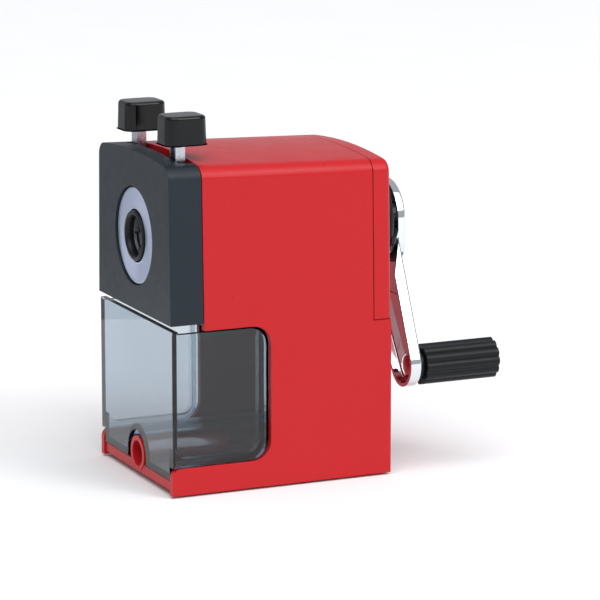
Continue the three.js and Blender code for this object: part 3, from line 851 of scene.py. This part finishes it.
def makeHead():
    low, high = boxOf("head_shell")
    wall = head["wall"]
    shell = bodyBlank("headShell", 0, (low.y, high.y), low.z)
    cut(
        shell,
        bodyBlank("core", wall, (low.y + wall, high.y + 1), low.z + wall),
        addBlock("notch", (-head["notch"], head["notch"]), (head["notchY"], 20), (head["notchZ"], 130)),
    )
    screws = middlesOf("head_screw", 4)
    for screw in screws:
        radius, end = head["post"]
        add(shell, addRod("post", radius, (head["inside"], end), screw.x, screw.z, 24))
    for guide in middlesOf("guide_rod", 2):
        radius, end = head["boss"]
        add(shell, addRod("boss", radius, (head["inside"], end), guide.x, guide.z, 24))
        cut(shell, addRod("bore", head["bossBore"], (3, 20), guide.x, guide.z, 24))
    for screw in screws:
        cut(shell, addRod("bore", screwHole["tapped"], (3.4, 20), screw.x, screw.z, 16))
    cut(shell, addRod("bezelHole", head["bezelHole"], (-5, 8), sides=72))
    roundEdges(shell, head["edge"])
    finishPiece(shell, "head", "slate_plastic", slatePlastic, "head_shell")


def makeFront():
    low, high = boxOf("bezel_ring")
    outer, inner = high.x, 8.7
    ring = drawAndSpin(
        "bezelRing",
        [
            (inner, high.y), (inner, low.y + 0.25), (inner + 0.25, low.y), (inner + 0.6, low.y),
            (inner + 0.7, low.y + 0.08), (outer - 0.9, low.y + 0.08), (outer - 0.8, low.y),
            (outer - 0.3, low.y), (outer, low.y + 0.3), (outer, high.y), (inner, high.y),
        ],
        steps=96,
    )
    finishPiece(ring, "head", "satin_ring", ringMetal, "bezel_ring", smooth=50)
    low, high = boxOf("chuck_guide")
    guide = drawAndSpin(
        "chuckGuide",
        [
            (6.4, high.y), (6.4, 1.2), (6.7, 0.4), (7.1, low.y + 0.1), (7.3, low.y), (7.9, low.y),
            (8.25, low.y + 0.15), (8.4, low.y + 0.5), (8.4, high.y), (6.4, high.y),
        ],
        steps=72,
    )
    finishPiece(guide, "head", "slate_plastic", nylon, "chuck_guide", smooth=50)


jawAngles = [i * 2 * math.pi / 3 for i in range(3)]


def makeChuck():
    low, high = boxOf("chuck_body")
    body = drawAndSpin(
        "chuckBody", [(6.6, high.y), (6.6, low.y), (high.x, low.y), (high.x, high.y), (6.6, high.y)], steps=72
    )
    for angle in jawAngles:
        slot = addBlock("slot", (-3.3, 3.3), (3.6, 9), (pencilZ, pencilZ + 13.8))
        turnAbout(slot, angle)
        cut(body, slot)
    roundEdges(body, 0.2, 2)
    finishPiece(body, "head", "zinc", zincCasting, "chuck_body")
    # a jaw is a block drawn in to a blunt edge where it grips, with a pin for the lever plates
    low, high = boxOf("jaw_1")
    blank = addBlock("jaw", (low.x, high.x), (low.y, 6.8), (low.z, high.z))
    editAll(blank)
    bpy.ops.mesh.bisect(plane_co=at(0, 0, pencilZ + 5), plane_no=(0, 0, 1))
    pick(blank, "VERT", lambda p: near(p.z, low.z))
    bpy.ops.transform.resize(value=(0.34, 1, 1), center_override=at(0, 0, low.z))
    done()
    roundEdges(blank, 0.25, 3, 25)
    add(blank, addRod("pin", 0.8, (6.5, high.y), 0, pencilZ + 9, 24))
    riders = ("top_jaw", "right_jaw", "left_jaw")
    for i, (angle, rider) in enumerate(zip(jawAngles, riders), 1):
        blade = copyOf(blank, f"jawBlade{i}")
        turnAbout(blade, angle)
        finishPiece(blade, rider, "steel", steel, f"jaw_{i}")
    bpy.data.objects.remove(blank)


lever = {
    "inner": 7,
    "outer": 15,
    "thick": 1.2,
    "stemX": 17.5,
    "stemHalf": 2.5,
    "flange": 2.1,
    "flangeTop": 113.2,
    "top": 118.5,
    "tabX": 6.5,
    "tabHalf": 1.8,
    "tabTop": 69.5,
    "postZ": 61.8,
    "slotRadius": 1.15,
    "slotEnds": ((0, 10.2), (1.8, 11.6)),  # across, and out from the pencil
}


def makeLever(side, name):
    # a flat pressed plate: a ring about the pencil, a stem with turned-up edges and a tab for the spring
    low, high = boxOf(f"{name}_lever")
    back = high.y
    front = back - lever["thick"]
    z = pencilZ
    plate = addRod(f"{name}LeverPlate", lever["outer"], (front, back), sides=72)
    stemX = side * lever["stemX"]
    half = lever["stemHalf"]
    stem = addBlock("stem", (stemX - half, stemX + half), (front, back), (z + 6, lever["top"]))
    editAll(stem)
    bpy.ops.mesh.bisect(plane_co=at(0, 0, z + 18), plane_no=(0, 0, 1))
    pick(stem, "VERT", lambda p: near(p.z, z + 6))
    bpy.ops.transform.resize(value=(1.7, 1, 1), center_override=at(stemX, 0, z))
    bpy.ops.transform.translate(value=(-side * 9.5 * mm, 0, 0))
    done()
    tabX, tabHalf, tabTop = side * lever["tabX"], lever["tabHalf"], lever["tabTop"]
    tab = addBlock("tab", (tabX - tabHalf, tabX + tabHalf), (front, back), (low.z, tabTop))
    edit(tab)
    pick(tab, "VERT", lambda p: near(p.z, tabTop))
    bpy.ops.transform.resize(value=(2.2, 1, 1), center_override=at(tabX, 0, tabTop))
    done()
    add(plate, stem, tab)
    cut(plate, addRod("eye", lever["inner"], (front - 2, back + 2), sides=64))
    # the stem's edges are turned back on the left lever and forward on the right, clear of each other
    flangeY = (front, back + lever["flange"]) if side < 0 else (front - lever["flange"], back)
    for edge in sides:
        x = stemX + edge * (half - 0.5)
        add(plate, addBlock("flange", (x - 0.5, x + 0.5), flangeY, (z + 22, lever["flangeTop"])))
    through = (front - 2, back + 2)
    for angle in jawAngles:
        slot, twin = [
            addRod("camSlot", lever["slotRadius"], through, side * across, z + out, 24)
            for across, out in lever["slotEnds"]
        ]
        add(slot, twin)
        turnAbout(slot, angle)
        cut(plate, slot)
    roundEdges(plate, 0.22, 3)
    add(plate, addRod("springPost", 0.9, (4.2, front + 0.5), tabX, lever["postZ"], 24))
    finishPiece(plate, f"{name}_pincher", "zinc", zincSheet, f"{name}_lever")


cap = {"corner": 3.6, "draft": 0.955, "rim": 1.0, "land": 2.6, "crown": 0.12}


def makeCap(side, name):
    low, high = boxOf(f"{name}_cap")
    block = addBlock(f"{name}PinchCap", (low.x, high.x), (low.y, high.y), (low.z, high.z))
    middle = (low + high) / 2
    edit(block)
    pick(block, "EDGE", lambda a, b: not near(a.z, b.z))
    bpy.ops.mesh.bevel(offset=cap["corner"] * mm, segments=10, affect="EDGES")
    pick(block, "FACE", lambda p, n: n.z > 0.9)
    bpy.ops.transform.resize(value=(cap["draft"], cap["draft"] + 0.01, 1), center_override=at(*middle))
    # the top is very slightly crowned inside a soft rim
    bpy.ops.mesh.inset(thickness=cap["land"] * mm, depth=cap["crown"] * mm)
    pick(block, "EDGE", lambda a, b: near(a.z, high.z) and near(b.z, high.z) and outside(a, low, high))
    bpy.ops.mesh.bevel(offset=cap["rim"] * mm, segments=6, affect="EDGES")
    pick(block, "FACE", lambda p, n: n.z < -0.9)
    bpy.ops.mesh.inset(thickness=0.01 * mm, depth=0)
    pick(block, "EDGE", lambda a, b: near(a.z, low.z) and near(b.z, low.z) and outside(a, low, high))
    bpy.ops.mesh.bevel(offset=0.45 * mm, segments=4, affect="EDGES")
    done()
    back = boxOf(f"{name}_lever")[1].y
    front = back - lever["thick"]
    x = side * lever["stemX"]
    reach = lever["stemHalf"] + 0.3
    socketZ = (110, lever["top"] + 0.3)
    cut(block, addBlock("socket", (x - reach, x + reach), (front - 0.3, back + 0.3), socketZ))
    finishPiece(block, f"{name}_pincher", "black_plastic", blackPlastic, f"{name}_cap")


def outside(point, low, high):
    # true on the rim of a cap, and not on what is inset within it
    return min(point.x - low.x, high.x - point.x) < 1.4 or min(point.y - low.y, high.y - point.y) < 1.4


# radius, wire radius and turns
headSpring = (2.9, 0.4, 14)
halfLeverSpring = (1.4, 0.35, 4)


def makeSprings():
    # round wire, wound by a screw of its section about the rod
    for i in (1, 2):
        low, high = boxOf(f"head_spring_{i}")
        middle = (low + high) / 2
        name = f"headSpringWire{i}"
        coil = windSpring(name, *headSpring, (low.y, high.y), middle.x, middle.z)
        finishPiece(coil, "stand", "steel", steel, f"head_spring_{i}", smooth=80)
        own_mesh(coil)
    # the levers draw the lever spring out from its middle; it is wound as two halves that meet there
    low, high = boxOf("lever_spring")
    middle = (0, 5.6, lever["postZ"])
    rightHalf = windSpring("rightLeverSpringWire", *halfLeverSpring, (0, high.x), 0, 0)
    turnWhole(rightHalf, -math.pi / 2, "Z", at(0, 0, 0))
    leftHalf = copyOf(rightHalf, "leftLeverSpringWire")
    turnWhole(leftHalf, -math.pi, "Y", at(0, 0, 0))
    for half, side, name in ((leftHalf, -1, "left"), (rightHalf, 1, "right")):
        editAll(half)
        bpy.ops.transform.translate(value=tuple(v * mm for v in middle))
        done()
        finishPiece(half, None, "steel", steel, "lever_spring", smooth=80)
        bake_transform(half)


def windSpring(name, radius, wire, turns, ys, x, z):
    bpy.ops.object.select_all(action="DESELECT")
    centre = at(x, 0, z)
    bpy.ops.mesh.primitive_circle_add(vertices=10, radius=wire * mm, location=at(x + radius, ys[0] + wire, z))
    coil = named(name)
    # the screw turns about the object's own origin, so that is put on the spring's axis
    coil.data.transform(Matrix.Translation(-centre))
    coil.location = centre
    turn = coil.modifiers.new("wind", "SCREW")
    turn.axis = "Y"
    turn.angle = 2 * math.pi * turns
    turn.screw_offset = (ys[1] - ys[0] - 2 * wire) * mm
    turn.steps = turns * 20
    turn.render_steps = turns * 20
    turn.use_merge_vertices = False
    bpy.ops.object.modifier_apply(modifier=turn.name)
    edit(coil)
    bpy.ops.mesh.select_mode(type="EDGE")
    bpy.ops.mesh.select_all(action="DESELECT")
    bpy.ops.mesh.select_non_manifold()
    bpy.ops.mesh.edge_face_add()
    done()
    return named(name)


def makeRods():
    for i in (1, 2):
        low, high = boxOf(f"guide_rod_{i}")
        middle = (low + high) / 2
        rod = drawAndSpin(
            f"guideRod{i}Ground",
            [(0, low.y), (1.6, low.y), (2, low.y + 0.4), (2, 63.2), (1.6, 63.3), (1.6, 64.5), (2, 64.6),
             (2, high.y - 0.4), (1.6, high.y), (0, high.y)],
            middle.x, middle.z, 32,
        )
        finishPiece(rod, "head", "steel", steel, f"guide_rod_{i}")
        low, high = boxOf(f"rod_clip_{i}")
        clip = drawAndSpin(
            f"rodClip{i}Snap",
            [(2.3, low.y), (4, low.y), (4, high.y), (2.3, high.y), (2.3, low.y)], middle.x, middle.z, 40,
        )
        roundEdges(clip, 0.15, 2)
        finishPiece(clip, "head", "steel", steel, f"rod_clip_{i}")
        low, high = boxOf(f"rod_bush_{i}")
        bush = drawAndSpin(
            f"rodBush{i}Turned",
            [(2.3, low.y + 0.3), (2.6, low.y), (3.2, low.y), (3.2, 15.7), (4.2, 15.7), (4.2, high.y),
             (2.3, high.y), (2.3, low.y + 0.3)], middle.x, middle.z, 40,
        )
        finishPiece(bush, "stand", "brass", brass, f"rod_bush_{i}")


def makeMechanismFrame():
    low, high = boxOf("mechanism_frame")
    plate = bodyBlank("framePlate", 2.7, (low.y, 15.4), low.z)
    barrel = drawAndSpin(
        "barrel",
        [(19.5, 14.9), (21.7, 14.9), (21.7, high.y), (19.5, high.y), (19.5, 14.9)], steps=72,
    )
    add(plate, barrel)
    through = (5, 30)
    cut(plate, addRod("pencilHole", 5.2, through))
    for guide in middlesOf("guide_rod", 2):
        cut(plate, addRod("rodHole", 3.5, through, guide.x, guide.z, 32))
    for screw in middlesOf("frame_screw", 4):
        cut(
            plate,
            addRod("hole", screwHole["shank"], through, screw.x, screw.z, 20),
            addRod("sink", 3.2, (5, low.y + 1.6), screw.x, screw.z, 32),
        )
    roundEdges(plate, 0.3, 2)
    finishPiece(plate, "stand", "zinc", zincCasting, "mechanism_frame")


def makeBackPlate():
    low, high = boxOf("head_back_plate")
    plate = bodyBlank("headBackSheet", 2.5, (low.y, high.y), low.z)
    cut(
        plate,
        addBlock("notch", (-head["notch"], head["notch"]), (-5, 20), (head["notchZ"], 130)),
        addRod("pencilHole", 6.4, (0, 20)),
    )
    for screw in middlesOf("head_screw", 4):
        cut(plate, addRod("hole", screwHole["tapped"], (0, 20), screw.x, screw.z, 20))
    for guide in middlesOf("guide_rod", 2):
        cut(plate, addRod("rodHole", 2.4, (0, 20), guide.x, guide.z, 32))
    roundEdges(plate, 0.15, 2)
    finishPiece(plate, "head", "zinc", zincSheet, "head_back_plate")


crossRecess = {"half": 0.4, "reach": 1.7, "depth": 0.8}


def recessBars(reach):
    # a cross recess is two bars: their spans across and up
    long, short = (-reach, reach), (-crossRecess["half"], crossRecess["half"])
    return (long, short), (short, long)


def moved(span, middle):
    return tuple(middle + v for v in span)


def makeScrew(name, node, body, headY, underY, endY, headRadius, shankRadius):
    # a pan head with a cross recess; headY is its outer face and underY where the shank starts
    middle = middleOf(node)
    out = 1 if headY > endY else -1
    crown = 0.35 * out
    screw = drawAndSpin(
        name,
        [
            (0, headY), (headRadius * 0.55, headY - crown * 0.2), (headRadius * 0.88, headY - crown * 0.8),
            (headRadius, headY - crown * 1.6), (headRadius, underY), (shankRadius, underY),
            (shankRadius, endY + 0.6 * out), (shankRadius * 0.4, endY), (0, endY),
        ],
        middle.x, middle.z, 40,
    )
    ys = sorted((headY + out, headY - crossRecess["depth"] * out))
    reach = min(crossRecess["reach"], headRadius * 0.62)
    for across, up in recessBars(reach):
        cut(screw, addBlock("recess", moved(across, middle.x), ys, moved(up, middle.z)))
    finishPiece(screw, body, "steel", steel, node)


def makeScrews():
    for i in (1, 2):
        low, high = boxOf(f"cover_screw_{i}")
        makeScrew(f"coverScrew{i}Pan", f"cover_screw_{i}", "stand", high.y, high.y - 1.3, low.y, 3, 1.4)
    for i in (1, 2, 3, 4):
        low, high = boxOf(f"head_screw_{i}")
        makeScrew(f"headScrew{i}Pan", f"head_screw_{i}", "head", high.y, high.y - 0.7, low.y, 2.2, 1.1)
        low, high = boxOf(f"frame_screw_{i}")
        makeScrew(f"frameScrew{i}Pan", f"frame_screw_{i}", "stand", low.y, low.y + 1.1, high.y, 2.9, 1.3)
    for i in (1, 2):
        low, high = boxOf(f"base_screw_{i}")
        middle = (low + high) / 2
        screw = addPost(f"baseScrew{i}Pan", 3, (low.z, low.z + 0.8), middle.x, middle.y, 32)
        roundEdges(screw, 0.25, 3)
        add(screw, addPost("shank", 1.4, (low.z + 0.5, high.z), middle.x, middle.y, 24))
        zs = (low.z - 1, low.z + 0.5)
        for across, along in recessBars(crossRecess["reach"]):
            cut(screw, addBlock("recess", moved(across, middle.x), moved(along, middle.y), zs))
        finishPiece(screw, "stand", "steel", steel, f"base_screw_{i}")


def makeFeet():
    for i in (1, 2, 3, 4):
        low, high = boxOf(f"foot_{i}")
        middle = (low + high) / 2
        pad = addPost(f"rubberFoot{i}", high.x - middle.x, (low.z, high.z), middle.x, middle.y, 48)
        edit(pad)
        pick(pad, "FACE", lambda p, n: n.z < -0.9)
        bpy.ops.mesh.inset(thickness=1.4 * mm, depth=0)
        bpy.ops.mesh.inset(thickness=0.4 * mm, depth=-0.5 * mm)
        done()
        roundEdges(pad, 0.3, 3)
        finishPiece(pad, "stand", "rubber", rubber, f"foot_{i}")


def makeRearParts():
    low, high = boxOf("rear_collar")
    outer = high.x
    ring = drawAndSpin(
        "rearCollarDisc",
        [
            (8.9, low.y), (outer - 0.3, low.y), (outer, low.y + 0.3), (outer, high.y - 1.7),
            (outer - 0.12, high.y - 1.1), (outer - 0.5, high.y - 0.55), (outer - 1.05, high.y - 0.15),
            (outer - 1.7, high.y), (12.4, high.y), (12.2, high.y - 0.25), (11.2, high.y - 0.25),
            (11, high.y), (5.2, high.y), (5, high.y - 0.2), (5, high.y - 2), (8.9, high.y - 2), (8.9, low.y),
        ],
        steps=96,
    )
    finishPiece(ring, "stand", "black_plastic", nylon, "rear_collar", smooth=30)
    low, high = boxOf("rear_bearing")
    bush = drawAndSpin(
        "rearBearingTurned",
        [
            (4.1, low.y + 0.4), (4.5, low.y), (6.1, low.y), (6.5, low.y + 0.4), (6.5, high.y - 1.2),
            (8.6, high.y - 1.2), (8.6, high.y - 0.2), (8.4, high.y), (4.5, high.y), (4.1, high.y - 0.4),
            (4.1, low.y + 0.4),
        ],
    )
    finishPiece(bush, "stand", "brass", brass, "rear_bearing")
    low, high = boxOf("drive_shaft")
    seat = boxOf("crank_arm")[1].y - arm["sheet"] - 0.3
    shaft = drawAndSpin(
        "driveShaftTurned",
        [
            (0, low.y), (6.7, low.y), (7, low.y + 0.3), (7, 67.3), (6.7, 67.6), (3.8, 67.6),
            (3.8, seat - 0.2), (3.6, seat), (2.4, seat), (2.4, high.y - 0.5), (1.9, high.y), (0, high.y),
        ],
    )
    finishPiece(shaft, "crank", "steel", steel, "drive_shaft")


arm = {
    "sheet": 1.2,
    "back": 89.2,  # outer face of the arm; the dished hub stands out beyond it
    "rootRadius": 12.1,
    "tipX": 25.6,
    "tipZ": 36.2,
    "tipRadius": 8.1,
    "hubRadius": 13,
    "dishEnd": 9.5,
    "dishStretch": 7.9,
    "slopeStart": 9,
    "slopeEnd": 24.5,
    "rim": 2.9,
    "fold": 0.9,
}


def hullOfDiscs(name, radius, endRadius, x, z, ys):
    # the hull of a disc on the crank's axis and another at (x, z)
    piece = addRod(name, radius, ys, sides=96)
    end = addRod("end", endRadius, ys, x, z, 64)
    bpy.ops.object.select_all(action="DESELECT")
    end.select_set(True)
    piece.select_set(True)
    bpy.context.view_layer.objects.active = piece
    bpy.ops.object.join()
    editAll(piece)
    bpy.ops.mesh.convex_hull()
    bpy.ops.mesh.dissolve_limited(angle_limit=math.radians(0.5))
    done()
    return piece


def foldedHull(name, radius, endRadius, x, z, ys, inset, fold):
    # a hull whose outer edge is rounded, as the sheet is where it is folded over
    piece = hullOfDiscs(name, radius - inset, endRadius - inset, x, z, ys)
    bevelEdges(piece, lambda a, b: near(a.y, ys[1]) and near(b.y, ys[1]), fold, 6)
    return piece


def armBlank(name, front, inset, fold, hubBack):
    # the arm's channel and the dish of its hub in one
    lean = math.atan2(arm["tipX"], pencilZ - arm["tipZ"])
    dishX = arm["dishStretch"] * math.sin(lean)
    dishZ = pencilZ - arm["dishStretch"] * math.cos(lean)
    armYs = (front, arm["back"] - inset)
    dishYs = (front, hubBack - inset)
    blank = foldedHull(
        name, arm["rootRadius"], arm["tipRadius"], arm["tipX"], arm["tipZ"], armYs, inset, fold
    )
    dish = foldedHull("dish", arm["hubRadius"], arm["dishEnd"], dishX, dishZ, dishYs, inset, fold)
    add(blank, dish)
    return blank, lean


def makeCrank():
    low, high = boxOf("crank_arm")
    grip = middleOf("grip")
    sheet = arm["sheet"]
    channel, lean = armBlank("crankArmPressed", low.y, 0, arm["fold"], high.y)
    hollow, lean = armBlank("hollow", low.y - 5, sheet, 0.4, high.y)
    cut(channel, hollow)
    # round the hub the flange is shallower, and it slopes down to the arm's own depth
    rim = high.y - arm["rim"]
    slopeStart = pencilZ - arm["slopeStart"]
    slopeEnd = pencilZ - arm["slopeEnd"]
    clearance = addBlock("clearance", (-30, 30), (low.y - 6, rim), (slopeEnd, pencilZ + 20))
    editAll(clearance)
    slopeNormal = Vector((0, slopeStart - slopeEnd, low.y - rim)).normalized()
    bpy.ops.mesh.bisect(
        plane_co=at(0, rim, slopeStart), plane_no=slopeNormal, clear_outer=True, use_fill=True
    )
    done()
    turnAbout(clearance, -lean)
    cut(
        channel,
        clearance,
        addRod("shaftHole", 2.7, (80, 97)),
        addRod("pinHole", 2.3, (80, 95), grip.x, grip.z),
    )
    roundEdges(channel, 0.25, 3, 50)
    finishPiece(channel, "crank", "chrome", chrome, "crank_arm", smooth=45)
    low, high = boxOf("crank_nut")
    nut = addRod("crankNutHex", (high.z - low.z) / 2, (low.y, high.y), sides=6)
    # the corners of a nut's outer face are turned off by a cone
    cone = addRod("cone", 5.05, (low.y - 1, high.y + 0.02), sides=64)
    bevelEdges(cone, lambda a, b: near(a.y, high.y, 0.1) and near(b.y, high.y, 0.1), 0.75, 1)
    combine(nut, cone, "INTERSECT")
    cut(nut, addRod("thread", 2.7, (low.y - 2, high.y + 2), sides=40))
    roundEdges(nut, 0.12, 2, 25)
    finishPiece(nut, "crank", "steel", steel, "crank_nut")
    low, high = boxOf("handle_pin")
    pin = drawAndSpin(
        "handlePinRivet",
        [
            (0, low.y), (1.6, low.y + 0.1), (2.8, low.y + 0.4), (3.5, low.y + 0.85), (3.8, low.y + 1.2),
            (3.8, low.y + 1.6), (2, low.y + 1.6), (2, high.y - 0.4), (1.6, high.y), (0, high.y),
        ],
        grip.x, grip.z, 48,
    )
    finishPiece(pin, "crank", "chrome", chrome, "handle_pin")
    low, high = boxOf("grip_collar")
    washer = drawAndSpin(
        "gripCollarTurned",
        [
            (2.3, low.y), (4.9, low.y), (5.2, low.y + 0.3), (5.2, high.y - 0.3), (4.9, high.y),
            (2.3, high.y), (2.3, low.y),
        ],
        grip.x, grip.z, 48,
    )
    finishPiece(washer, "crank", "black_plastic", nylon, "grip_collar")


handle = {"outer": 6.95, "ribs": 12, "perRib": 12, "groove": 0.9}


def makeGrip():
    low, high = boxOf("grip")
    middle = (low + high) / 2
    ribs, perRib = handle["ribs"], handle["perRib"]
    piece = addRod("gripRibbed", handle["outer"], (low.y, high.y), middle.x, middle.z, ribs * perRib)
    # each rib is broad and round, and falls into a narrow groove on both sides
    edit(piece)
    for k in range(perRib // 2):
        share = 1 - k / (perRib / 2)
        depth = 1 - (1 - handle["groove"]) * share ** 2.2
        angles = [sign * k * 2 * math.pi / (ribs * perRib) for sign in sides]

        def onGroove(p):
            around = math.atan2(p.z - middle.z, p.x - middle.x) + math.pi / ribs
            pitch = 2 * math.pi / ribs
            within = (around + pitch / 2) % pitch - pitch / 2
            return any(abs(within - a) < 0.3 * math.pi / (ribs * perRib) for a in angles)

        pick(piece, "VERT", onGroove)
        bpy.ops.transform.resize(value=(depth, 1, depth), center_override=at(*middle))
    pick(piece, "FACE", lambda p, n: abs(n.y) > 0.9)
    bpy.ops.mesh.inset(thickness=0.45 * mm, depth=0)
    done()
    bevelEdges(
        piece,
        lambda a, b: near(a.y, b.y)
        and (near(a.y, low.y) or near(a.y, high.y))
        and min((a - middle).xz.length, (b - middle).xz.length) > 6.1,
        0.4,
        4,
    )
    cut(piece, addRod("bore", 2.3, (low.y - 5, 117), middle.x, middle.z, 40))
    # a shallow dimple in the outer end, where the mould fed
    dimple = addRod("dimple", 2.6, (high.y - 0.35, high.y + 2), middle.x, middle.z, 48)
    cut(piece, dimple)
    finishPiece(piece, "handle", "black_plastic", nylon, "grip", smooth=50)


makeHousing()
print("housing")
makeRearCover()
print("rear cover")
makeBasePlate()
makeFeet()
print("base")
makeDrawer()
print("drawer")
makeHead()
makeFront()
makeBackPlate()
makeChuck()
print("head and chuck")
for side, name in zip(sides, ("left", "right")):
    makeLever(side, name)
    makeCap(side, name)
print("levers")
makeMechanismFrame()
makeRods()
makeSprings()
print("frame, rods and springs")
makeScrews()
print("screws")
makeRearParts()
makeCrank()
makeGrip()
print("crank")

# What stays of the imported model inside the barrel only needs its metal
insideMetals = {
    "ring_gear": steel,
    "helical_cutter": steel,
    "cutter_pinion": steel,
    "cutter_axle": steel,
    "cutter_washer": brass,
    "carrier": zincCasting,
}
for nodeName, metal in insideMetals.items():
    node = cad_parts[nodeName]
    node.data.materials.clear()
    node.data.materials.append(metal)
